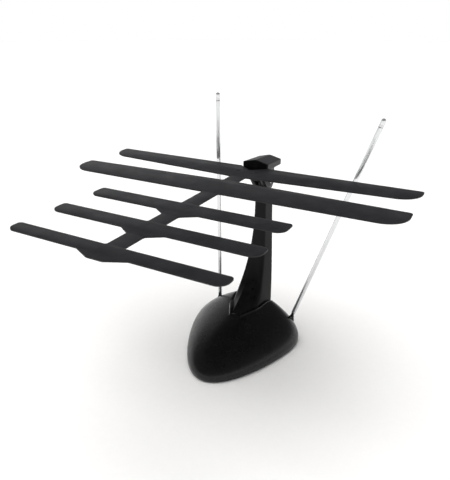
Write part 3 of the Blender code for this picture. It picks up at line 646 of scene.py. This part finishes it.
# ---- Array sheet ----
# Five bars on one boom, blanked from 1.2 mm aluminium sheet and sprayed matt charcoal.
# Two rivets hold it to the saddle, in front of a V notch that clears the head.

plate_low, plate_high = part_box("array_plate")
SHEET_THICKNESS = plate_high.z - plate_low.z
SHEET_EDGE = 0.00025        # round left on the blanked edges by tumbling and paint
BOOM_HALF = 0.0069
NOTCH_TIP_Y = 0.0280
NOTCH_HALF = 0.0130
INNER_CORNER = 0.0015
TIP_CORNER = 0.0025
FLARE_CORNER = 0.003
HALF_LONG = plate_high.x
REAR_Y = plate_high.y

# Each bar: half-length, front y at the boom and the tip, back y at the tip and the boom,
# and the radius of the front corner of its tip.
SHEET_BARS = (
    (0.0808, -0.1661, -0.1661, -0.1539, -0.1539, 0.007),
    (0.0819, -0.1276, -0.1276, -0.1124, -0.1124, 0.008),
    (0.0811, -0.0886, -0.0886, -0.0712, -0.0712, 0.008),
    (HALF_LONG, -0.0409, -0.0409, -0.0126, -0.0074, 0.019),
    (HALF_LONG, 0.0064, 0.0160, REAR_Y, REAR_Y, 0.019),
)
# Half-width and y where the boom flares into each short bar, and its width before that.
FLARES = ((0.0195, plate_low.y, 0.0060), (0.0175, -0.1345, BOOM_HALF),
          (0.0177, -0.0960, BOOM_HALF))


def rounded(corners, steps=10):
    """A closed outline with each (x, y, radius) corner made an arc tangent to both sides: its
    centre lies on the bisector at radius over the sine of the half angle."""
    points = []
    place = np.array([corner[:2] for corner in corners], float)
    for corner, before, after, (_, _, radius) in zip(place, np.roll(place, 1, 0),
                                                     np.roll(place, -1, 0), corners):
        if radius == 0:
            points.append(corner[None])
            continue
        before = (before - corner) / np.linalg.norm(before - corner)
        after = (after - corner) / np.linalg.norm(after - corner)
        half = math.acos(np.clip(before @ after, -1, 1)) / 2
        middle = (before + after) / np.linalg.norm(before + after)
        centre = corner + middle * radius / math.sin(half)
        first = corner + before * radius / math.tan(half) - centre
        last = corner + after * radius / math.tan(half) - centre
        spread = math.pi - 2 * half
        share = np.linspace(0, 1, steps)[:, None]
        points.append(centre + (first * np.sin((1 - share) * spread)
                                + last * np.sin(share * spread)) / math.sin(spread))
    return np.vstack(points)


corners = []
for number, (half, front, front_tip, back_tip, back, radius) in enumerate(SHEET_BARS):
    if number < len(FLARES):
        wide, start, narrow = FLARES[number]
        corners += [(narrow, start, FLARE_CORNER), (wide, front, FLARE_CORNER)]
    else:
        corners.append((BOOM_HALF, front, INNER_CORNER))
    corners += [(half, front_tip, radius), (half, back_tip, TIP_CORNER)]
    if number < len(SHEET_BARS) - 1:
        corners.append((BOOM_HALF, back, INNER_CORNER))
corners.append((NOTCH_HALF, REAR_Y, 0.0008))
right = rounded([(0, plate_low.y, 0), *corners, (0, NOTCH_TIP_Y, 0)])[1:-1]
notch = (0, NOTCH_TIP_Y)
sheet_outline = np.vstack((right, [notch], right[::-1] * (-1, 1)))

blank = bpy.data.curves.new("array_sheet", "CURVE")
blank.dimensions = "2D"
blank.fill_mode = "BOTH"
blank.extrude = SHEET_THICKNESS / 2 - SHEET_EDGE
blank.bevel_depth = SHEET_EDGE
blank.bevel_resolution = 2
blank.offset = -SHEET_EDGE
spline = blank.splines.new("POLY")
spline.points.add(len(sheet_outline) - 1)
flat = np.column_stack((sheet_outline, np.zeros(len(sheet_outline)), np.ones(len(sheet_outline))))
spline.points.foreach_set("co", flat.ravel())
spline.use_cyclic_u = True
former = bpy.data.objects.new("former", blank)
scene.collection.objects.link(former)
bpy.context.view_layer.update()
evaluated = former.evaluated_get(bpy.context.evaluated_depsgraph_get())
sheet_mesh = bpy.data.meshes.new_from_object(evaluated)
bpy.data.objects.remove(former)
sheet_mesh.transform(Matrix.Translation((0, 0, plate_high.z - SHEET_THICKNESS / 2)))
weld(sheet_mesh, 0.000005)
sheet_mesh.name = "array_sheet"
sheet_mesh.shade_smooth()
sheet_mesh.set_sharp_from_angle(angle=math.radians(32))

# Matt sprayed paint: a dry charcoal with a fine orange peel, and slow patches from uneven
# spraying.
paint, tree, shader = new_finish("matt_charcoal_paint", IOR=1.48, Specular_IOR_Level=0.3)
coords = add_node(tree, "ShaderNodeTexCoord")
patches = add_node(tree, "ShaderNodeTexNoise", {"Vector": coords.outputs["Object"],
                                                "Scale": per_mm(14), "Detail": 5.0,
                                                "Roughness": 0.65})
peel = add_node(tree, "ShaderNodeTexNoise", {"Vector": coords.outputs["Object"],
                                             "Scale": per_mm(0.6), "Detail": 2.0})
tone = add_node(tree, "ShaderNodeValToRGB", {"Fac": patches.outputs["Fac"]})
tone.color_ramp.elements[0].position = 0.3
tone.color_ramp.elements[0].color = linear("#19191b")
tone.color_ramp.elements[1].position = 0.72
tone.color_ramp.elements[1].color = linear("#222224")
gloss = add_node(tree, "ShaderNodeMapRange", {"Value": patches.outputs["Fac"], "From Min": 0.3,
                                              "From Max": 0.7, "To Min": 0.58, "To Max": 0.50})
relief = add_node(tree, "ShaderNodeBump", {"Height": peel.outputs["Fac"], "Strength": 0.4,
                                           "Distance": 0.00008})
tree.links.new(tone.outputs["Color"], shader.inputs["Base Color"])
tree.links.new(gloss.outputs["Result"], shader.inputs["Roughness"])
tree.links.new(relief.outputs["Normal"], shader.inputs["Normal"])

sheet = stand("array_sheet", sheet_mesh, paint)
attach(sheet, "array")
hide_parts("array_plate")

# Rivets: low domed heads on top, set before the paint.
RIVET_SHANK = 0.0013
RIVET_FOOT = 0.0008         # thickness of the head clenched under the saddle
RIVET_SEAT = 0.00003        # space between the sheet and the edge of the domed head

for word in ("left", "right"):
    low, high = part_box(f"plate_rivet_{word}")
    spot = ((low.x + high.x) / 2, (low.y + high.y) / 2, low.z)
    head_radius = (high.x - low.x) / 2
    top = high.z - low.z
    sheet_top = plate_high.z - low.z
    dome_arc = np.linspace(0, math.pi / 2, 8)
    profile = [(head_radius, 0), (head_radius, RIVET_FOOT), (RIVET_SHANK, RIVET_FOOT),
               (RIVET_SHANK, sheet_top)]
    profile += list(zip(head_radius * np.cos(dome_arc),
                        sheet_top + RIVET_SEAT + (top - sheet_top) * np.sin(dome_arc)))[:-1]
    rivet = stand(f"sheet_rivet_{word}", turned("rivet", profile, spot, (0, 0, 1), 32), paint)
    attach(rivet, "array")
    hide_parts(f"plate_rivet_{word}")


# ---- Head ----
# The head is a hexagonal charcoal moulding, larger in front, closed there by a plug in a
# darker black that is painted shade for the unlit front face. One screw holds it down on
# the black saddle, whose cheeks turn on the tilt pin.

head_low, head_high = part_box("head_cap")
HEAD_HALF_HEIGHT = 0.0059
HEAD_BACK_SCALE = 0.93
HEAD_DROP = 0.0022
HEAD_EDGE = 0.0006
HEAD_POWER = 26             # higher gives the hexagon sharper corners
HEAD_END_SHRINK = 0.08      # share by which the rounded ends close in
HEAD_LIP = 0.012            # width of the rim round the plug, as a share of the section
PLUG_SHARE = 0.90
PLUG_DEPTH = 0.0005


def hexagon(turn):
    """Polar radius of a hexagon with corners at unit distance, one of them up: a power mean of
    its six sides, which rounds the corners."""
    total = 0
    for side in range(6):
        total = total + np.maximum(np.cos(turn - math.pi / 3 * side), 0) ** HEAD_POWER
    return total ** (-1 / HEAD_POWER) * math.cos(math.pi / 6)


def head_ring(y, size):
    """The hexagon at y: scale and drop change evenly from the front to the back."""
    turn = np.linspace(0, 2 * math.pi, 120, endpoint=False)
    share = (y - head_low.y) / (head_high.y - head_low.y)
    scale = (1 + (HEAD_BACK_SCALE - 1) * share) * size
    radius = hexagon(turn) * scale
    centre_z = head_high.z - HEAD_HALF_HEIGHT - HEAD_DROP * share
    return np.column_stack((radius * np.cos(turn) * head_high.x / math.cos(math.pi / 6),
                            np.full(120, y), centre_z + radius * np.sin(turn) * HEAD_HALF_HEIGHT))


edge = np.linspace(0, math.pi / 2, 6)
profile = [(head_low.y + 0.004, PLUG_SHARE), (head_low.y, PLUG_SHARE),
           (head_low.y, PLUG_SHARE + HEAD_LIP)]
profile += [(head_low.y + HEAD_EDGE * (1 - math.sin(a)), 1 - HEAD_END_SHRINK * (1 - math.cos(a)))
            for a in edge[::-1]]
profile += [(y, 1.0) for y in np.linspace(head_low.y + 0.002, head_high.y - 0.002, 8)]
profile += [(head_high.y - HEAD_EDGE * (1 - math.sin(a)), 1 - HEAD_END_SHRINK * (1 - math.cos(a)))
            for a in edge]
rings = np.stack([head_ring(y, size) for y, size in profile])[::-1]

# Matt charcoal moulding: the same grey as the sheet, with a fine eroded grain.
charcoal_abs, tree, shader = new_finish("matt_charcoal_abs", IOR=1.53, Specular_IOR_Level=0.3)
coords = add_node(tree, "ShaderNodeTexCoord")
cloud = add_node(tree, "ShaderNodeTexNoise", {"Vector": coords.outputs["Object"],
                                              "Scale": per_mm(6), "Detail": 4.0})
grain = add_node(tree, "ShaderNodeTexNoise", {"Vector": coords.outputs["Object"],
                                              "Scale": per_mm(0.4), "Detail": 2.0})
tone = add_node(tree, "ShaderNodeValToRGB", {"Fac": cloud.outputs["Fac"]})
tone.color_ramp.elements[0].position = 0.3
tone.color_ramp.elements[0].color = linear("#19191b")
tone.color_ramp.elements[1].position = 0.7
tone.color_ramp.elements[1].color = linear("#212123")
gloss = add_node(tree, "ShaderNodeMapRange", {"Value": grain.outputs["Fac"], "To Min": 0.42,
                                              "To Max": 0.58})
relief = add_node(tree, "ShaderNodeBump", {"Height": grain.outputs["Fac"], "Strength": 0.4,
                                           "Distance": 0.00006})
tree.links.new(tone.outputs["Color"], shader.inputs["Base Color"])
tree.links.new(gloss.outputs["Result"], shader.inputs["Roughness"])
tree.links.new(relief.outputs["Normal"], shader.inputs["Normal"])

head = stand("head_shell", skin("head_shell", rings), charcoal_abs)
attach(head, "array")
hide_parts("head_cap")

# The plug's satin black, darker than the charcoal shell, is painted shade: it stands in for the shade
# on the unlit front face.
plug_size = PLUG_SHARE - HEAD_LIP
profile = [(head_low.y + 0.0035, plug_size), (head_low.y + PLUG_DEPTH + 0.0002, plug_size),
           (head_low.y + PLUG_DEPTH, plug_size - 0.02)]
rings = np.stack([head_ring(y, size) for y, size in profile])
shade_plug = stand("head_shade_plug", skin("head_shade_plug", rings), satin_abs)
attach(shade_plug, "array")


def softened(node, name, width, material, angle=30):
    """A copy of a CAD node with its triangles merged into faces and its edges rounded."""
    shape = bmesh.new()
    shape.from_mesh(nodes[node].data)
    bmesh.ops.remove_doubles(shape, verts=shape.verts, dist=0.000002)
    bmesh.ops.dissolve_limit(shape, angle_limit=math.radians(1), verts=shape.verts,
                             edges=shape.edges)
    mesh = bpy.data.meshes.new(name)
    shape.to_mesh(mesh)
    shape.free()
    mesh.shade_smooth()
    piece = stand(name, mesh, material)
    soft = piece.modifiers.new("edges", "BEVEL")
    soft.width = width
    soft.segments = 2
    soft.limit_method = "ANGLE"
    soft.angle_limit = math.radians(angle)
    soft.harden_normals = True
    return piece


saddle = softened("head_saddle", "saddle", 0.0003, satin_abs)
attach(saddle, "array")
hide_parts("head_saddle")

# The tilt pin is a plain steel pin with a low domed head riveted over at each end.
low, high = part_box("tilt_pin")
length = high.x - low.x
TILT_SHANK = 0.0015
TILT_HEAD_HEIGHT = 0.0010
TILT_HEAD_STEP = 0.0011     # where the shank begins under the head
head_radius = (high.y - low.y) / 2
dome_arc = np.linspace(0.15, math.pi / 2, 7)
cap = [(head_radius * math.sin(a), TILT_HEAD_HEIGHT * (1 - math.cos(a))) for a in dome_arc]
profile = [*cap, (TILT_SHANK, TILT_HEAD_STEP), (TILT_SHANK, length - TILT_HEAD_STEP),
           *[(radius, length - height) for radius, height in cap[::-1]]]
pin = stand("tilt_pin_steel", turned("tilt_pin_steel", profile, (low.x, TILT_Y, TILT_Z), (1, 0, 0),
                                     40), zinc)
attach(pin, "base")
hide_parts("tilt_pin")


# ---- Rods ----
# Each rod is a set of four chromed brass tubes, drawn one in another, on a blackened
# steel foot. A pin holds the foot in a forked post that stands in the base's corner.

TUBE_RADII = (0.00215, 0.0016, 0.00105, 0.0005)
TUBE_WALL = 0.00025
ROLLED_END = 0.0004         # how far the mouth of each tube is rolled inwards
TIP_GROOVE = 0.00022
TIP_CHAMFER = 0.0002
DOWEL_CHAMFER = 0.00025
KNUCKLE_EDGE = 0.0002       # round on the edges of the foot and the fork

# Bright chrome with a pale haze of wear: a soft mirror. Fine draw lines, drawn at 0.25 mm
# round the tube so that they show, run its length, with faint finger marks.
chrome, tree, shader = new_finish("bright_chrome", Metallic=0.8)
run = add_node(tree, "ShaderNodeUVMap", uv_map="along")
lines_at = add_node(tree, "ShaderNodeMapping", {"Vector": run.outputs["UV"],
                                                "Scale": (54, 60, 1)})
lines = add_node(tree, "ShaderNodeTexNoise", {"Vector": lines_at.outputs["Vector"],
                                              "Scale": 1.0, "Detail": 2.0})
coords = add_node(tree, "ShaderNodeTexCoord")
marks = add_node(tree, "ShaderNodeTexNoise", {"Vector": coords.outputs["Object"],
                                              "Scale": per_mm(11), "Detail": 4.0})
gloss = add_node(tree, "ShaderNodeMapRange", {"Value": marks.outputs["Fac"], "From Min": 0.35,
                                              "From Max": 0.7, "To Min": 0.13, "To Max": 0.26})
tone = add_node(tree, "ShaderNodeValToRGB", {"Fac": lines.outputs["Fac"]})
tone.color_ramp.elements[0].position = 0.3
tone.color_ramp.elements[0].color = linear("#dcdee0")
tone.color_ramp.elements[1].position = 0.7
tone.color_ramp.elements[1].color = linear("#f2f3f4")
relief = add_node(tree, "ShaderNodeBump", {"Height": lines.outputs["Fac"], "Strength": 0.15,
                                           "Distance": 0.00002})
tree.links.new(tone.outputs["Color"], shader.inputs["Base Color"])
tree.links.new(gloss.outputs["Result"], shader.inputs["Roughness"])
tree.links.new(relief.outputs["Normal"], shader.inputs["Normal"])

# Blackened steel: an oil-black oxide, satin, rubbed a little brighter in patches.
black_steel, tree, shader = new_finish("blackened_steel", Metallic=0.75)
coords = add_node(tree, "ShaderNodeTexCoord")
rub = add_node(tree, "ShaderNodeTexNoise", {"Vector": coords.outputs["Object"],
                                            "Scale": per_mm(1.5), "Detail": 4.0})
tone = add_node(tree, "ShaderNodeValToRGB", {"Fac": rub.outputs["Fac"]})
tone.color_ramp.elements[0].position = 0.45
tone.color_ramp.elements[0].color = linear("#17171a")
tone.color_ramp.elements[1].position = 0.80
tone.color_ramp.elements[1].color = linear("#4a4a4e")
gloss = add_node(tree, "ShaderNodeMapRange", {"Value": rub.outputs["Fac"], "To Min": 0.30,
                                              "To Max": 0.50})
tree.links.new(tone.outputs["Color"], shader.inputs["Base Color"])
tree.links.new(gloss.outputs["Result"], shader.inputs["Roughness"])


def span(node, start, axis):
    """Lowest and highest distance of a CAD node's points along an axis from start."""
    points = np.array([vertex.co for vertex in nodes[node].data.vertices])
    reach = (points - np.array(start)) @ np.array(axis)
    return float(reach.min()), float(reach.max())


for word in ("left", "right"):
    pivot = joints[f"{word}_rod_tilt"]["pos_m"]
    axis = joints[f"{word}_extend_2"]["axis"]
    for number, outer in enumerate(TUBE_RADII, 1):
        node = f"{word}_tube_{number}"
        low, high = span(node, pivot, axis)
        steps = np.linspace(0, math.pi / 2, 5)
        if number < len(TUBE_RADII):
            mouth = [(outer - ROLLED_END * 0.6 * (1 - math.cos(a)),
                      high - ROLLED_END * (1 - math.sin(a))) for a in steps]
            inner = outer - TUBE_WALL
            profile = [(inner, high - ROLLED_END), (inner, low), (outer, low),
                       *[(outer, low + (high - low) * share) for share in (0.1, 0.5, 0.9)],
                       *mouth]
            profile.append(profile[0])
        else:
            profile = [(outer * 0.6, low), (outer, low + 0.0003), (outer, high)]
        closed = number == len(TUBE_RADII)
        mesh = turned(node, profile, pivot, axis, 48, True, (closed, closed))
        if not closed:
            weld(mesh, 0.000001)
        tube = stand(f"{word}_section_{number}_tube", mesh, chrome)
        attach(tube, f"{word}_rod" if number == 1 else f"{word}_section_{number}")
        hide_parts(node)

    # The tip is a solid button: a skirt, a turned groove and a domed end.
    low, high = span(f"{word}_tip", pivot, axis)
    outer = TUBE_RADII[0]
    dome_arc = np.linspace(0, 0.95 * math.pi / 2, 10)
    profile = [(outer - TIP_CHAMFER, low), (outer, low + TIP_CHAMFER), (outer, low + 0.0012),
               (outer - TIP_GROOVE, low + 0.0014), (outer - TIP_GROOVE, low + 0.0018),
               (outer, low + 0.0020)]
    profile += [(outer * math.cos(a), high - outer * (1 - math.sin(a))) for a in dome_arc]
    tip = stand(f"{word}_tip_button", turned("tip", profile, pivot, axis, 48, True), chrome)
    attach(tip, f"{word}_section_4")
    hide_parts(f"{word}_tip")

    foot = softened(f"{word}_rod_foot", f"{word}_foot_knuckle", KNUCKLE_EDGE, black_steel)
    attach(foot, f"{word}_rod")
    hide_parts(f"{word}_rod_foot")
    post = softened(f"{word}_post", f"{word}_forked_post", KNUCKLE_EDGE, black_steel)
    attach(post, "base")
    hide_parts(f"{word}_post")

    # The pin is a plain dowel with chamfered ends.
    low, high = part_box(f"{word}_rod_pin")
    radius = (high.x - low.x) / 2
    length = high.y - low.y
    profile = [(radius - DOWEL_CHAMFER, 0), (radius, DOWEL_CHAMFER),
               (radius, length - DOWEL_CHAMFER), (radius - DOWEL_CHAMFER, length)]
    start = (pivot[0], low.y, pivot[2])
    dowel = stand(f"{word}_pin_dowel", turned("dowel", profile, start, (0, 1, 0), 32), zinc)
    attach(dowel, "base")
    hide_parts(f"{word}_rod_pin")


# ---- Aerial socket ----
# A threaded coaxial socket in the rear wall, nickel-plated, with a white insulator and a
# hexagon nut that clamps it through the dome.

THREAD_PITCH = 0.0008
THREAD_DEPTH = 0.00035
THREAD_ROWS = 10            # rows of faces to each turn of the thread
socket_low, socket_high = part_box("coax_socket")
BARREL = 0.0046
BORE = 0.0033
FLANGE = (socket_high.x - socket_low.x) / 2
SOCKET_Y = 0.0586           # outer face of the dome's rear wall
FLANGE_BEHIND = (0.0090, 0.0068)    # how far inside that face the flange lies
PIN_RADIUS = 0.0008         # the inner contact's tail
BORE_DEPTH = 0.0030         # how far the bore reaches inside the face
flange_y = [SOCKET_Y - depth for depth in FLANGE_BEHIND]
socket_z = (socket_low.z + socket_high.z) / 2

# The barrel's radius rises and falls along it once a pitch, and the wave moves on with the
# turn, which makes a helix. It fades to plain metal at both ends.
length = socket_high.y - flange_y[1]
rows = round(length / THREAD_PITCH) * THREAD_ROWS
along = np.linspace(0, length, rows)[:, None]
turn = np.linspace(0, 2 * math.pi, 64, endpoint=False)[None, :]
phase = along / THREAD_PITCH - turn / (2 * math.pi)
crest = np.abs((phase % 1) * 2 - 1)
ends = smooth_step(0, 0.0008, along) * (1 - smooth_step(length - 0.0006, length, along))
radius = BARREL - THREAD_DEPTH * (1 - crest) * ends
body = np.stack(np.broadcast_arrays(radius * np.sin(turn), flange_y[1] + along,
                                    socket_z + radius * np.cos(turn)), axis=-1)


def socket_ring(radius, y):
    """A plain ring of the socket's turned parts."""
    turn = np.linspace(0, 2 * math.pi, 64, endpoint=False)
    return np.column_stack((radius * np.sin(turn), np.full(64, y), socket_z + radius * np.cos(turn)))


mouth_y = socket_high.y
before = [socket_ring(PIN_RADIUS, SOCKET_Y - BORE_DEPTH), socket_ring(PIN_RADIUS, socket_low.y),
          socket_ring(BARREL, socket_low.y), socket_ring(BARREL, flange_y[0]),
          socket_ring(FLANGE, flange_y[0]), socket_ring(FLANGE, flange_y[1])]
after = [socket_ring(BARREL - 0.0003, mouth_y), socket_ring(BORE + 0.0002, mouth_y),
         socket_ring(BORE, mouth_y - 0.0002), socket_ring(BORE, SOCKET_Y - BORE_DEPTH),
         socket_ring(PIN_RADIUS, SOCKET_Y - BORE_DEPTH)]
rings = np.concatenate((np.stack(before), body[:-3], np.stack(after)))
mesh = skin("socket_barrel", rings, (False, False), np.linspace(0, 0.04, len(rings)))
weld(mesh, 0.000001)
barrel = stand("socket_barrel", mesh, chrome)
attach(barrel, "base")
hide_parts("coax_socket")

nut = softened("coax_nut", "socket_nut", 0.0003, zinc)
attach(nut, "base")
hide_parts("coax_nut")

# White insulator: slightly waxy polythene, its surface a little uneven.
polythene, tree, shader = new_finish("white_polythene", Roughness=0.42, Subsurface_Weight=0.15,
                                     Subsurface_Scale=0.001)
coords = add_node(tree, "ShaderNodeTexCoord")
wax = add_node(tree, "ShaderNodeTexNoise", {"Vector": coords.outputs["Object"],
                                            "Scale": per_mm(1.5), "Detail": 2.0})
tone = add_node(tree, "ShaderNodeValToRGB", {"Fac": wax.outputs["Fac"]})
tone.color_ramp.elements[0].color = linear("#dcdad2")
tone.color_ramp.elements[1].color = linear("#eeede8")
tree.links.new(tone.outputs["Color"], shader.inputs["Base Color"])
dress(polythene, "coax_insulator")
